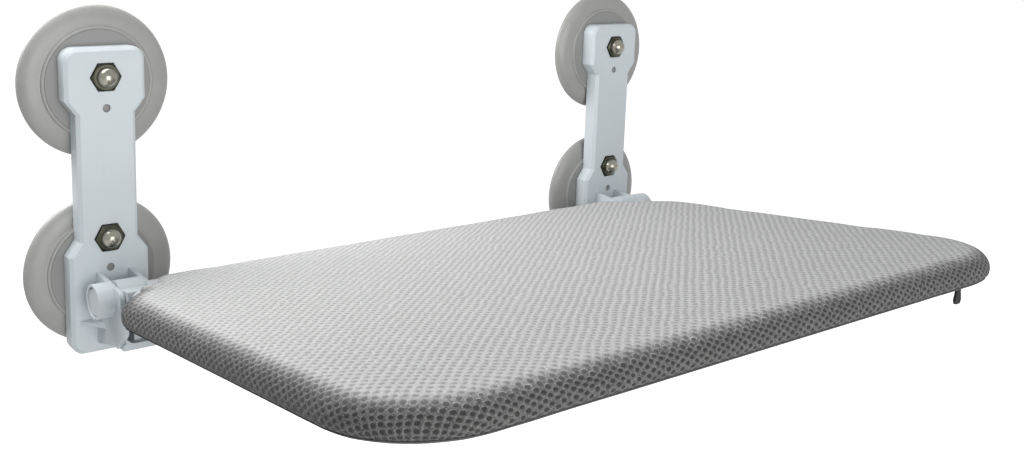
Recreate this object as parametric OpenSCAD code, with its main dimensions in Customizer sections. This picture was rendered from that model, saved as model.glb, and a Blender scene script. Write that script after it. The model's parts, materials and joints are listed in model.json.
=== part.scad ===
/* [Window brackets] */
// Distance between the centre lines of the two brackets
bracket_spacing = 428; // [400:2:450]
// Height of a bracket plate
bracket_h = 191; // [186:1:200]
// Width of the plate at its head and foot
head_w = 50; // [46:1:56]
// Width of the narrow neck
neck_w = 37; // [35:1:40]
// Height of the head down to its shoulders
head_h = 32; // [30:1:36]
// Height of the slope from head to neck
shoulder_h = 8.5; // [7:0.5:10]
// Height of the straight neck
neck_h = 79; // [76:1:82]
// Height of the slope from neck to foot
flare_h = 9; // [7:0.5:11]
// Depth of the plate shell from its face to its back rim
shell_depth = 12; // [11:0.5:12]
// Thickness of the moulded walls
wall = 2.8; // [2.4:0.2:3]
// Radius of the plate's outer corners
plate_corner_r = 8; // [6:0.5:10]
// Bevel around the front face
face_bevel = 2.2; // [1.6:0.2:2.6]
// Distance from the glass to the plate's front face
face_off = 21; // [21:0.5:22]

/* [Nuts and studs] */
// Width across flats of the cap nuts
nut_flats = 16.4; // [16:0.2:17]
// Height of the upper nut above the middle of its cup
upper_nut_rise = 5; // [4:0.5:7]
// Height of the lower nut above the middle of its cup
lower_nut_rise = 25; // [23:0.5:25]
// Height of the plate's top above the upper nut
head_over_nut = 18; // [16:1:20]
// Drop from each nut to the small peg hole under it
peg_drop = 19; // [18:0.5:21]
// Diameter of the peg hole
peg_hole_d = 5; // [4:0.5:6]
// Diameter of the cup studs
stud_d = 10; // [9:0.5:10]

/* [Suction cups] */
// Diameter of a cup at its lip
cup_d = 95; // [92:1:100]
// Distance between the upper and the lower cup
cup_spacing = 120; // [118:1:122]
// Diameter of the raised round middle
cup_mid_d = 70; // [69:1:72]
// Height of the raised middle above the glass
cup_h = 8.6; // [8.2:0.1:8.8]
// Diameter of the rigid plate set into a cup
carrier_d = 66; // [66:1:67]
// Thickness of the rigid plate
carrier_t = 3.8; // [3.4:0.2:4.2]

/* [Hinge] */
// Distance from the plate's face to the hinge axis
hinge_off = 22.5; // [22:0.5:24]
// Height of the hinge axis above the plate's bottom end
hinge_rise = 41; // [40:0.5:43]
// Outer diameter of the frame tubes
tube_d = 15; // [14:0.5:15]
// Wall of the frame tubes
tube_wall = 1.2; // [1:0.1:1.6]
// Distance between the two ears of a bracket
ear_gap = 17.5; // [17:0.5:19]
// Thickness of each ear
ear_t = 3; // [2.6:0.2:3.6]
// How far the outer ear stands out from the face
ear_reach = 40; // [39:0.5:41]
// How far the inner ear stands out from the face
inner_reach = 33.5; // [33:0.5:34]
// Length of the round boss outside the outer ear
boss_len = 10.5; // [9:0.5:12]
// Diameter of the round boss
boss_d = 21.5; // [20.5:0.5:22]
// Drop from the hinge axis to the shelf that stops the perch
shelf_drop = 24; // [23:0.5:25]
// Slope of the perch at rest, up towards the room
perch_tilt = 6.2; // [4:0.1:7]

/* [Perch] */
// How far the mat reaches past the centre line of each bracket
mat_over = 24.5; // [22:0.5:26]
// Depth of the mat from the window to the room
mat_depth = 338.5; // [320:2:360]
// Radius of the mat's corners in plan
mat_corner_r = 58; // [54:1:62]
// Radius of the mat's back corners, beside the ears
back_corner_r = 42; // [36:1:46]
// How far the mat reaches behind the hinge axis
mat_back = 12.3; // [11:0.1:13]
// Distance from the mat's front to the tube centre
tube_inset = 16.25; // [15:0.25:18]
// Thickness of the mesh fabric
mesh_t = 1; // [0.8:0.1:1.2]
// Width of the webbing straps under the pad
strap_w = 38; // [30:2:50]
// Thickness of the webbing
strap_t = 0.8; // [0.6:0.1:1]
// Number of webbing straps
strap_n = 3; // [2:1:4]

/* [Zip] */
// Length of the zip opening as a share of the mat's depth
zip_share = 0.64; // [0.5:0.02:0.66]
// Distance from the mat's right end to the zip
zip_inset = 34.5; // [30:0.5:40]
// Width across both zip tapes
zip_w = 18; // [16:1:18]
// Distance between neighbouring teeth
tooth_pitch = 3.5; // [3:0.25:5]
// Length of the slider
slider_len = 13; // [11:1:15]
// Length of the pull tab
pull_len = 12; // [10:1:18]

/* [Hidden] */
$fn = 64;

// How far cutting tools run past a face
cut = 1;
// Radial play of the back tube in the bracket bores
bore_play = 0.08;
// Play of parts that sit beside each other
side_play = 0.4;
// Air between the mat and the brackets
soft_play = 0.8;
// Seam between soft layers
layer_play = 0.3;
// Seam between the straps and the cover
strap_play = 0.2;

// Heights of cups and nuts, 1 for the upper and -1 for the lower
nut_sides = [1, -1];
function cup_z(s) = s * cup_spacing / 2;
function nut_rise(s) = s > 0 ? upper_nut_rise : lower_nut_rise;
function nut_z(s) = cup_z(s) + nut_rise(s);

// Levels of the plate
plate_top = nut_z(1) + head_over_nut;
plate_bottom = plate_top - bracket_h;
head_low = plate_top - head_h;
neck_top = head_low - shoulder_h;
neck_low = neck_top - neck_h;
foot_top = neck_low - flare_h;
face_y = -face_off;
rim_y = face_y + shell_depth;

// Pocket of a nut, its floor and the boss behind it
pocket_play = 0.4;
pocket_depth = 5.4;
pocket_floor = 2.8;
pocket_boss_r = 12.6;
washer_t = 1.2;
nut_hex_h = 6;
nut_chamfer = 0.9;
dome_r = 6.3;
stud_tip = 1.8;
stud_r = stud_d / 2;
nut_corner_r = nut_flats / 2 / cos(30);
washer_r = nut_flats / 2;
seat_h = face_off - pocket_depth;
boss_back_h = seat_h - pocket_floor;
peg_r = peg_hole_d / 2;
peg_play = 0.2;
peg_boss_r = peg_r + wall;
peg_recess = 1.5;
rib_t = 2;
rib_gap = 1;
run_in = 4;
bevel_step = 0.3;
slope_bevel = face_bevel - bevel_step;

// Suction cup
cup_r = cup_d / 2;
cup_mid_r = cup_mid_d / 2;
lip_w = 8;
lip_t = 1;
hollow_h = 1.4;
shoulder_rise = 7;
mid_chamfer = 0.8;
arc_steps = 10;
carrier_r = carrier_d / 2;
carrier_low = cup_h - carrier_t;
head_t = 2.4;
head_r = 6.8;
standoff_r = 7.5;

// Ears of a bracket, measured from its centre line
ear_mid_x = 2.25;
ear_in = ear_mid_x - ear_gap / 2;
ear_out = ear_mid_x + ear_gap / 2;
boss_end = ear_in - ear_t - boss_len;
boss_mouth = 3;
boss_mouth_play = 1.5;
tube_r = tube_d / 2;
bore_r = tube_r + bore_play;
hinge_y = face_y - hinge_off;
hinge_z = plate_bottom + hinge_rise;
ear_root_over = 3.3;
ear_front_over = 0.9;
ear_root_rise = tube_r + ear_root_over;
ear_front_rise = tube_r + ear_front_over;
ear_nose_r = 5;
ear_front_h = 14;
foot_step = 3;
foot_lip = 5;
foot_h = 8;
shelf_t = 4;
shelf_fillet = 6;
web_t = 2.2;
web_reach = 15;
web_w = 10.8;

// Perch frame, in its own axes with the hinge axis at zero
mat_len = bracket_spacing + 2 * mat_over;
mat_t = tube_d + 2 * (strap_t + strap_play + mesh_t);
mat_r = mat_t / 2;
mat_low_z = -mat_r;
tilt_rise = mat_t * sin(perch_tilt) / 2;
outer_depth = ear_reach + foot_step - hinge_off + soft_play + tilt_rise;
core_corner_r = mat_corner_r - mat_r;
front_y = mat_back - mat_depth + tube_inset;
tube_corner_r = mat_corner_r - tube_inset;
arm_x = bracket_spacing / 2 - ear_mid_x;
tube_side_inset = mat_over + ear_mid_x;
arm_w = ear_gap - 2 * side_play;
hub_wall = 3.5;
hub_r = tube_r + hub_wall;
arm_neck_h = 14;
arm_start = 19;
arm_len = 48;
neck_front = arm_start + wall;
heel_front = 12.5;
heel_back = 1;
heel_gap = 1;
heel_in = ear_in + shelf_fillet + heel_gap;
heel_out = arm_w / 2 - heel_gap;
screw_r = 1.6;
screw_head_r = 2.9;
screw_head_t = 1.6;
joiner_len = 90;
joiner_wall = 1.2;
rivet_inset = 12;
rivet_r = 1.8;
rivet_head_r = 3;
rivet_head_t = 0.8;
plug_len = 10;
plug_cap_t = 1.8;
plug_cap_over = 0.7;
plug_cap_r = tube_r + plug_cap_over;

// Layers inside the mat
pad_gap = tube_r + strap_t + layer_play;
pad_inset = max(tube_inset, tube_side_inset) + pad_gap;
pad_low_z = -tube_r;
skin_top_z = mat_r - mesh_t;
hem_margin = 1;
hem_inset = mat_r + hem_margin;
hem_corner_r = mat_corner_r - hem_inset;

// Zip
zip_x = mat_len / 2 - zip_inset;
tape_t = 0.8;
tooth_t = 1.6;
tooth_w = 2.4;
tooth_len = 1.8;
cord_w = 0.8;
teeth_gap = 1.4;
slider_play = 0.3;
slider_t = 1.1;
post_w = 0.9;
post_len = 3;
slider_w = 2 * tooth_w + teeth_gap + 2 * slider_play + 2 * slider_t;
slot_w = slider_w + 2 * side_play;
slot_from_hem = 1.2;
slot_out = max(0, zip_x + slot_w / 2 - mat_len / 2 + mat_corner_r);
slot_reach = sqrt(pow(hem_corner_r - slot_from_hem, 2) - pow(slot_out, 2));
zip_len = zip_share * mat_depth;
zip_front_y = mat_back - mat_depth + mat_corner_r - slot_reach;
zip_back_y = zip_front_y + zip_len;
tape_z = mat_low_z - tape_t;
chain_z = tape_z + tape_t / 2;
stop_len = 2.4;
cheek_t = 1.2;
pin_r = 1;
pin_play = 0.06;
eye_r = 2.3;
pull_w = 4.6;
pull_t = 1.6;
eye_play = 0.35;
pin_drop = eye_r + slider_t / 2 + eye_play;
cheek_edge = 0.6;
cheek_h = pin_drop + pin_r + cheek_edge;
slider_rest_y = zip_front_y + side_play + slider_len / 2;

// Grows a shape drawn upwards from a wall point out to the room
module towards_room(x, y, z) {
    translate([x, y, z]) rotate([90, 0, 0]) children();
}

// Frame of the left bracket, and its mirror image for the right one
module at_bracket(side) {
    if (side < 0) translate([-bracket_spacing / 2, 0, 0]) children();
    else mirror([1, 0, 0]) translate([-bracket_spacing / 2, 0, 0]) children();
}

// Frame of the perch: hinge axis along X, sloped up to the room
module at_perch() {
    translate([0, hinge_y, hinge_z]) rotate([-perch_tilt, 0, 0]) children();
}

// Frame of the hinge arm on one side of the perch
module at_arm(side) {
    if (side < 0) translate([-arm_x, 0, 0]) children();
    else mirror([1, 0, 0]) translate([-arm_x, 0, 0]) children();
}

module rod_x(x0, x1, r) {
    translate([x0, 0, 0]) rotate([0, 90, 0]) cylinder(h = x1 - x0, r = r);
}

module rod_y(y0, y1, r) {
    translate([0, y0, 0]) rotate([-90, 0, 0]) cylinder(h = y1 - y0, r = r);
}

// Outline in Y and Z, drawn out along X
module side_profile(x0, t, pts) {
    translate([x0, 0, 0]) rotate([90, 0, 90]) linear_extrude(t) polygon(pts);
}

// Prism that takes the bevel off the edge from p to q of a plate of depth d
module edge_cut(p, q, d, b) {
    run = norm(q - p);
    turn = atan2(q[1] - p[1], q[0] - p[0]);
    translate([p[0], p[1], d]) rotate([0, 0, turn]) translate([-b, 0, 0])
        rotate([90, 0, 90]) linear_extrude(run + 2 * b)
            polygon([[-cut, -b - cut], [b + cut, cut], [-cut, cut]]);
}

// Straight-sided part of the plate; each bevel is an edge's index and size
module plate_part(pts, bevels) {
    difference() {
        linear_extrude(shell_depth) polygon(pts);
        for (e = bevels) edge_cut(pts[e[0]], pts[(e[0] + 1) % len(pts)], shell_depth, e[1]);
    }
}

// Head or foot, drawn upwards from its end of the neck: slopes, sides, round corners
module plate_end(slope_h, side_h) {
    half = head_w / 2;
    inner = half - plate_corner_r;
    end = slope_h + side_h;
    root = neck_w / 2 - run_in * (head_w - neck_w) / 2 / slope_h;
    plate_part([
        [-root, -run_in], [root, -run_in], [half, slope_h],
        [half, end - plate_corner_r], [-half, end - plate_corner_r], [-half, slope_h]
    ], [[1, slope_bevel], [2, face_bevel], [4, face_bevel], [5, slope_bevel]]);
    plate_part([
        [-inner, end - plate_corner_r], [inner, end - plate_corner_r], [inner, end], [-inner, end]
    ], [[2, face_bevel]]);
    for (s = [-1, 1]) translate([s * inner, end - plate_corner_r, 0]) {
        cylinder(h = shell_depth - face_bevel, r = plate_corner_r);
        translate([0, 0, shell_depth - face_bevel])
            cylinder(h = face_bevel, r1 = plate_corner_r, r2 = plate_corner_r - face_bevel);
    }
}

// Solid block in the plate's outline, its face bevelled all round
module plate_block() {
    n = neck_w / 2;
    plate_part([
        [-n, neck_low - run_in], [n, neck_low - run_in],
        [n, neck_top + run_in], [-n, neck_top + run_in]
    ], [[1, face_bevel], [3, face_bevel]]);
    translate([0, neck_top, 0]) plate_end(shoulder_h, head_h);
    translate([0, neck_low, 0]) mirror([0, 1, 0]) plate_end(flare_h, foot_top - plate_bottom);
}

// Outline of the hollow behind the plate, one wall inside
function slope_shift(dz) = wall * tan(atan2((head_w - neck_w) / 2, dz) / 2);
function hollow_side(s) = let (
    h = head_w / 2 - wall,
    n = neck_w / 2 - wall,
    c = plate_corner_r - wall,
    a = slope_shift(shoulder_h),
    b = slope_shift(flare_h)
) [
    [s * (h - c), plate_bottom + wall], [s * h, plate_bottom + wall + c],
    [s * h, foot_top - b], [s * n, neck_low - b],
    [s * n, neck_top + a], [s * h, head_low + a],
    [s * h, plate_top - wall - c], [s * (h - c), plate_top - wall]
];
function reversed(v) = [for (i = [len(v) - 1:-1:0]) v[i]];

// Ribs across and along the hollow
module plate_ribs() {
    depth = shell_depth - wall + rib_gap;
    low = boss_back_h - (face_off - shell_depth);
    span = depth - low;
    translate([-rib_t / 2, plate_bottom + wall / 2, low])
        cube([rib_t, bracket_h - wall, span]);
    for (z = [neck_top, (neck_top + nut_z(-1)) / 2, neck_low, hinge_z, hinge_z - shelf_drop])
        translate([-neck_w / 2 + wall / 2, z - rib_t / 2, low])
            cube([neck_w - wall, rib_t, span]);
}

// Ear of the hinge: a sloped top, a round nose and an optional foot
module ear(x0, reach, lip) {
    nose_z = hinge_z + ear_front_rise - ear_nose_r;
    front_low = hinge_z + ear_front_rise - ear_front_h - foot_step;
    side_profile(x0, ear_t, [
        [face_y + cut, hinge_z + ear_root_rise],
        [face_y, hinge_z + ear_root_rise],
        [face_y - reach + ear_nose_r, hinge_z + ear_front_rise],
        [face_y - reach + ear_nose_r, nose_z],
        [face_y - reach, nose_z],
        [face_y - reach, front_low + foot_step],
        [face_y - reach - lip, front_low],
        [face_y - reach - lip, front_low - foot_h],
        [face_y - reach + shelf_fillet, hinge_z - shelf_drop - shelf_t],
        [face_y + cut, hinge_z - shelf_drop - shelf_t]
    ]);
    translate([x0, face_y - reach + ear_nose_r, nose_z])
        rotate([0, 90, 0]) cylinder(h = ear_t, r = ear_nose_r);
}

// Shelf between the ears, with a round fillet to the outer ear
module shelf() {
    top_z = hinge_z - shelf_drop;
    front = face_y - ear_reach;
    run = ear_reach + cut;
    translate([ear_in - ear_t / 2, front, top_z - shelf_t])
        cube([ear_out - ear_in + ear_t, run, shelf_t]);
    difference() {
        translate([ear_in, front, top_z - shelf_t / 2])
            cube([shelf_fillet, run, shelf_fillet + shelf_t / 2]);
        translate([ear_in + shelf_fillet, 0, top_z + shelf_fillet])
            rod_y(front - cut, face_y + 2 * cut, shelf_fillet);
    }
    for (x = [ear_in - ear_t, ear_out])
        side_profile(x, ear_t, [
            [face_y + cut, top_z - shelf_t / 2],
            [face_y - inner_reach, top_z - shelf_t / 2],
            [face_y, plate_bottom + face_bevel + shelf_t],
            [face_y + cut, plate_bottom + face_bevel + shelf_t]
        ]);
}

// Bracket: hollow plate, nut pockets, peg holes, hinge ears, boss and shelf
module bracket_shape() {
    hollow_d = shell_depth - wall;
    boss_w = boss_back_h - (face_off - shell_depth);
    difference() {
        union() {
            towards_room(0, rim_y, 0) {
                difference() {
                    plate_block();
                    translate([0, 0, -cut]) linear_extrude(hollow_d + cut)
                        polygon(concat(hollow_side(1), reversed(hollow_side(-1))));
                }
                plate_ribs();
                for (s = nut_sides) {
                    translate([0, nut_z(s), boss_w])
                        cylinder(h = shell_depth - wall / 2 - boss_w, r = pocket_boss_r);
                    translate([0, nut_z(s) - peg_drop, boss_w])
                        cylinder(h = shell_depth - wall / 2 - boss_w, r = peg_boss_r);
                }
            }
            ear(ear_in - ear_t, ear_reach, foot_lip);
            ear(ear_out, inner_reach, 0);
            shelf();
            translate([0, hinge_y, hinge_z]) rod_x(boss_end, ear_in - ear_t / 2, boss_d / 2);
            // Flat web that stiffens the outer ear
            translate([ear_in - ear_t, face_y, hinge_z - shelf_drop + foot_step])
                linear_extrude(web_t)
                    polygon([[ear_t / 2, cut], [-web_w, cut], [-web_w, 0], [0, -web_reach], [ear_t / 2, -web_reach]]);
        }
        for (s = nut_sides) {
            towards_room(0, -seat_h, nut_z(s))
                hex_prism(nut_flats + 2 * pocket_play, pocket_depth + cut);
            towards_room(0, rim_y + cut, nut_z(s)) cylinder(h = face_off, r = stud_r + peg_play);
            towards_room(0, rim_y + cut, nut_z(s) - peg_drop) cylinder(h = face_off, r = peg_r);
        }
        translate([0, hinge_y, hinge_z]) {
            rod_x(boss_end - cut, ear_out + ear_t + cut, bore_r);
            rod_x(boss_end - cut, boss_end + boss_mouth, bore_r + boss_mouth_play);
        }
    }
}

module hex_prism(flats, h) {
    cylinder(h = h, r = flats / 2 / cos(30), $fn = 6);
}

module left_bracket() {
    color([0.80, 0.84, 0.86]) at_bracket(-1) bracket_shape();
}

module right_bracket() {
    color([0.80, 0.84, 0.86]) at_bracket(1) bracket_shape();
}

// Suction cup: flat lip, bellied flank, raised middle that holds the rigid plate
module cup_shape() {
    flank = cup_r - cup_mid_r;
    rotate_extrude() polygon(concat(
        [[0, hollow_h], [cup_r - lip_w - hollow_h, hollow_h], [cup_r - lip_w, 0], [cup_r, 0]],
        [for (i = [0:arc_steps]) [
            cup_mid_r + flank * cos(90 * i / arc_steps),
            lip_t + (shoulder_rise - lip_t) * sin(90 * i / arc_steps)
        ]],
        [
            [cup_mid_r, cup_h - mid_chamfer], [cup_mid_r - mid_chamfer, cup_h],
            [carrier_r, cup_h], [carrier_r, carrier_low], [0, carrier_low]
        ]
    ));
}

module cup(side, s) {
    color([0.66, 0.66, 0.64]) at_bracket(side) towards_room(0, 0, cup_z(s)) cup_shape();
}

module upper_left_cup() { cup(-1, 1); }
module lower_left_cup() { cup(-1, -1); }
module upper_right_cup() { cup(1, 1); }
module lower_right_cup() { cup(1, -1); }

// Rigid plate of a cup, with the seat of the stud and the locating peg
module cup_plate(side, s) {
    rise = nut_rise(s);
    color([0.55, 0.56, 0.57]) at_bracket(side) towards_room(0, 0, cup_z(s)) difference() {
        union() {
            translate([0, 0, carrier_low]) cylinder(h = carrier_t, r = carrier_r);
            translate([0, rise, cup_h - carrier_t / 2])
                cylinder(h = boss_back_h - cup_h + carrier_t / 2, r = standoff_r);
            translate([0, rise - peg_drop, cup_h - carrier_t / 2])
                cylinder(h = face_off - peg_recess - cup_h + carrier_t / 2, r = peg_r - peg_play);
        }
        translate([0, rise, carrier_low - cut]) cylinder(h = head_t + cut, r = head_r);
        translate([0, rise, carrier_low]) cylinder(h = face_off, r = stud_r);
    }
}

module upper_left_cup_plate() { cup_plate(-1, 1); }
module lower_left_cup_plate() { cup_plate(-1, -1); }
module upper_right_cup_plate() { cup_plate(1, 1); }
module lower_right_cup_plate() { cup_plate(1, -1); }

module each_nut() {
    for (side = [-1, 1], s = nut_sides) at_bracket(side) towards_room(0, 0, nut_z(s)) children();
}

// Studs: flat head in the cup's plate, shank through bracket and nut
module cup_studs() {
    tip_h = seat_h + washer_t + nut_hex_h + stud_tip;
    color([0.72, 0.72, 0.70]) each_nut() {
        translate([0, 0, carrier_low]) cylinder(h = head_t, r = head_r);
        translate([0, 0, carrier_low]) cylinder(h = tip_h - carrier_low, r = stud_r);
    }
}

module nut_washers() {
    color([0.60, 0.60, 0.58]) each_nut() translate([0, 0, seat_h]) difference() {
        cylinder(h = washer_t, r = washer_r);
        translate([0, 0, -cut]) cylinder(h = washer_t + 2 * cut, r = stud_r);
    }
}

// Cap nuts: chamfered hexagon with a round dome, bored from behind
module cap_nuts() {
    color([0.66, 0.66, 0.60]) each_nut() translate([0, 0, seat_h + washer_t]) difference() {
        union() {
            intersection() {
                hex_prism(nut_flats, nut_hex_h);
                union() {
                    cylinder(h = nut_hex_h - nut_chamfer, r = nut_corner_r + cut);
                    translate([0, 0, nut_hex_h - nut_chamfer])
                        cylinder(h = nut_chamfer, r1 = nut_corner_r, r2 = nut_corner_r - 2 * nut_chamfer);
                }
            }
            translate([0, 0, nut_hex_h]) intersection() {
                sphere(r = dome_r);
                translate([0, 0, -cut]) cylinder(h = dome_r + 2 * cut, r = dome_r + cut);
            }
        }
        translate([0, 0, -cut]) cylinder(h = nut_hex_h + stud_tip + cut, r = stud_r);
    }
}

// Straight tube along the window, hinge pin of the whole perch
module back_tube() {
    half = bracket_spacing / 2 - boss_end - boss_mouth + side_play;
    color([0.78, 0.79, 0.80]) at_perch() difference() {
        rod_x(-half, half, tube_r);
        rod_x(-half - cut, half + cut, tube_r - tube_wall);
        for (side = [-1, 1]) at_arm(side) hub_screw_place() cylinder(h = hub_r, r = screw_r);
    }
}

// Route of a front tube: out from the arm, round the corner, along the front
module front_route(r, over) {
    translate([-arm_x, 0, 0]) rod_y(front_y + tube_corner_r, -neck_front + over, r);
    translate([-arm_x + tube_corner_r, front_y + tube_corner_r, 0]) rotate([0, 0, 180])
        rotate_extrude(angle = 90) translate([tube_corner_r, 0]) circle(r = r);
    translate([0, front_y, 0]) rod_x(-arm_x + tube_corner_r, over, r);
}

module front_tube() {
    difference() {
        front_route(tube_r, 0);
        front_route(tube_r - tube_wall, cut);
        rivet_places() cylinder(h = 2 * tube_d, r = rivet_r, center = true);
    }
}

module left_front_tube() {
    color([0.78, 0.79, 0.80]) at_perch() front_tube();
}

module right_front_tube() {
    color([0.78, 0.79, 0.80]) at_perch() mirror([1, 0, 0]) front_tube();
}

// Sleeve inside the joint of the two front tubes
module tube_joiner() {
    r = tube_r - tube_wall;
    color([0.60, 0.61, 0.62]) at_perch() difference() {
        translate([0, front_y, 0]) rod_x(-joiner_len / 2, joiner_len / 2, r);
        translate([0, front_y, 0]) rod_x(-joiner_len / 2 - cut, joiner_len / 2 + cut, r - joiner_wall);
        rivet_places() cylinder(h = 2 * tube_d, r = rivet_r, center = true);
    }
}

module rivet_places() {
    for (s = [-1, 1]) translate([s * (joiner_len / 2 - rivet_inset), front_y, 0]) children();
}

// Rivets through both tube walls, with flat heads below
module joiner_rivets() {
    color([0.70, 0.70, 0.70]) at_perch() rivet_places() {
        translate([0, 0, -tube_r]) cylinder(h = tube_d, r = rivet_r);
        translate([0, 0, -tube_r - rivet_head_t]) difference() {
            cylinder(h = rivet_head_t + tube_wall, r = rivet_head_r);
            translate([0, 0, rivet_head_t + tube_r]) rotate([0, 90, 0])
                cylinder(h = tube_d, r = tube_r, center = true);
        }
    }
}

module hub_screw_place() {
    translate([-arm_w / 2 + screw_head_r + side_play, 0, -hub_r]) children();
}

// Hinge arm: hub on the back tube, neck between the ears, spigot inside the side tube
module arm_shape() {
    difference() {
        union() {
            rotate([-perch_tilt, 0, 0]) {
                rod_x(-arm_w / 2, arm_w / 2, hub_r);
                translate([-arm_w / 2, -neck_front, -arm_neck_h / 2])
                    cube([arm_w, neck_front, arm_neck_h]);
                rod_y(-arm_len, -arm_start, tube_r - tube_wall);
            }
            // Heel that stands on the shelf of the bracket
            translate([heel_in - ear_mid_x, -heel_front, -shelf_drop])
                cube([heel_out - heel_in + ear_mid_x, heel_front - heel_back, shelf_drop - tube_r / 2]);
        }
        rotate([-perch_tilt, 0, 0]) {
            rod_x(-arm_w, arm_w, tube_r);
            hub_screw_place() translate([0, 0, -cut]) cylinder(h = hub_r, r = screw_r);
            hub_screw_place() translate([0, 0, -cut]) cylinder(h = screw_head_t + cut, r = screw_head_r);
        }
    }
}

module hinge_arm(side) {
    color([0.86, 0.87, 0.88]) translate([0, hinge_y, hinge_z]) at_arm(side) arm_shape();
}

module left_hinge_arm() { hinge_arm(-1); }
module right_hinge_arm() { hinge_arm(1); }

// Screws that pin the hubs to the back tube
module arm_screws() {
    color([0.55, 0.55, 0.55]) at_perch() for (side = [-1, 1]) at_arm(side) {
        hub_screw_place() {
            cylinder(h = screw_head_t, r = screw_head_r);
            cylinder(h = hub_r - tube_r + tube_wall, r = screw_r);
        }
    }
}

// Plugs that close the ends of the back tube inside the bosses
module tube_plugs() {
    end = bracket_spacing / 2 - boss_end - boss_mouth + side_play;
    color([0.74, 0.77, 0.79]) at_perch() for (m = [0, 1]) mirror([m, 0, 0]) {
        rod_x(-end - plug_cap_t, -end, plug_cap_r);
        rod_x(-end - plug_cap_t / 2, -end + plug_len, tube_r - tube_wall);
    }
}

// Plan of the mat, drawn in from its edge
module plan(inset, corner) {
    r = corner;
    x = mat_len / 2 - inset;
    y0 = mat_back - mat_depth + inset;
    y1 = mat_back - inset;
    translate([-x + r, y0]) square([2 * (x - r), y1 - y0]);
    translate([-x, y0 + r]) square([2 * x, y1 - y0 - 2 * r]);
    for (cx = [-x + r, x - r], cy = [y0 + r, y1 - r]) translate([cx, cy]) circle(r = r);
}

// Slab with fully rounded edges, the mat's outer form drawn in by the inset
module slab(inset) {
    r = mat_r - inset;
    x = mat_len / 2 - mat_r;
    y0 = mat_back - mat_depth + mat_r;
    y1 = mat_back - mat_r;
    c = core_corner_r;
    translate([0, 0, -r]) linear_extrude(2 * r) plan(mat_r, c);
    for (y = [y0, y1]) translate([0, y, 0]) rod_x(-x + c, x - c, r);
    for (sx = [-x, x]) translate([sx, 0, 0]) rod_y(y0 + c, y1 - c, r);
    for (q = [[1, 1, 0], [-1, 1, 90], [-1, -1, 180], [1, -1, 270]])
        translate([q[0] * (x - c), q[1] > 0 ? y1 - c : y0 + c, 0]) rotate([0, 0, q[2]])
            rotate_extrude(angle = 90) translate([c, 0]) circle(r = r);
}

// Plan of what the round back corner beside an outer ear leaves out
module corner_room(inset) {
    difference() {
        translate([-mat_len, -outer_depth - back_corner_r])
            square([mat_len - arm_x, outer_depth + back_corner_r + mat_t]);
        translate([back_corner_r - mat_len / 2, -outer_depth - back_corner_r])
            circle(r = back_corner_r - inset);
    }
}

// Room that the hinge arms and the ears keep free in the mat
module hinge_room() {
    inner_depth = inner_reach - hinge_off + soft_play + tilt_rise;
    inner_x = bracket_spacing / 2 - ear_out - ear_t - soft_play;
    for (m = [0, 1]) mirror([m, 0, 0]) {
        translate([-arm_x - arm_w / 2 - soft_play, -neck_front - soft_play, -arm_neck_h / 2 - soft_play])
            cube([arm_w + 2 * soft_play, neck_front + soft_play + mat_t, arm_neck_h + 2 * soft_play]);
        translate([-mat_len, -inner_depth, -mat_t]) cube([mat_len - inner_x, inner_depth + mat_t, 2 * mat_t]);
        translate([0, 0, -mat_t]) linear_extrude(2 * mat_t) corner_room(0);
    }
}

function strap_x(i) = (i - (strap_n - 1) / 2) * mat_len / (strap_n + 1);

// Webbing from the back tube to the front tubes, sewn round both
module support_straps() {
    color([0.25, 0.26, 0.28]) at_perch() for (i = [0:strap_n - 1]) translate([strap_x(i) - strap_w / 2, 0, 0])
        difference() {
            union() {
                rod_x(0, strap_w, tube_r + strap_t);
                translate([0, front_y, 0]) rod_x(0, strap_w, tube_r + strap_t);
                translate([0, front_y, -tube_r - strap_t]) cube([strap_w, -front_y, strap_t]);
            }
            rod_x(-cut, strap_w + cut, tube_r);
            translate([0, front_y, 0]) rod_x(-cut, strap_w + cut, tube_r);
        }
}

// Foam between the tubes, on the straps
module foam_pad() {
    color([0.90, 0.90, 0.86]) at_perch() difference() {
        translate([0, 0, pad_low_z]) linear_extrude(skin_top_z - pad_low_z) intersection() {
            plan(pad_inset, mat_corner_r - pad_inset);
            translate([-mat_len, -pad_gap - mat_depth]) square([2 * mat_len, mat_depth]);
        }
        hinge_room();
        zip_room();
    }
}

// Roll of foam round the outside of the tubes
module edge_roll() {
    gap = layer_play;
    color([0.88, 0.88, 0.85]) at_perch() difference() {
        slab(mesh_t);
        translate([0, 0, pad_low_z - cut]) linear_extrude(mat_t) intersection() {
            plan(pad_inset - gap, mat_corner_r - pad_inset + gap);
            translate([-mat_len, -pad_gap + gap - mat_depth]) square([2 * mat_len, mat_depth]);
        }
        rod_x(-mat_len, mat_len, tube_r);
        for (m = [0, 1]) mirror([m, 0, 0]) front_route(tube_r, cut);
        for (i = [0:strap_n - 1]) translate([strap_x(i) - strap_w / 2, 0, 0]) {
            rod_x(0, strap_w, tube_r + strap_t);
            translate([0, front_y, 0]) rod_x(0, strap_w, tube_r + strap_t);
            translate([0, front_y, -tube_r - strap_t]) cube([strap_w, -front_y, tube_r]);
        }
        rivet_places() cylinder(h = mat_t, r = rivet_head_r, center = true);
        hinge_room();
        zip_room();
    }
}

// Mesh fabric over top and edges, turned in round the base
module mesh_cover() {
    color([0.74, 0.74, 0.73]) at_perch() difference() {
        slab(0);
        slab(mesh_t);
        rod_x(-mat_len, mat_len, tube_r + layer_play);
        translate([0, 0, mat_low_z - cut]) linear_extrude(mesh_t + 2 * cut) base_plan();
        hinge_room();
    }
}

// Plan of the base, with the zip slot beside its right end
module base_plan() {
    difference() {
        plan(hem_inset, hem_corner_r);
        for (m = [0, 1]) mirror([m, 0]) corner_room(hem_inset);
    }
}

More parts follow.
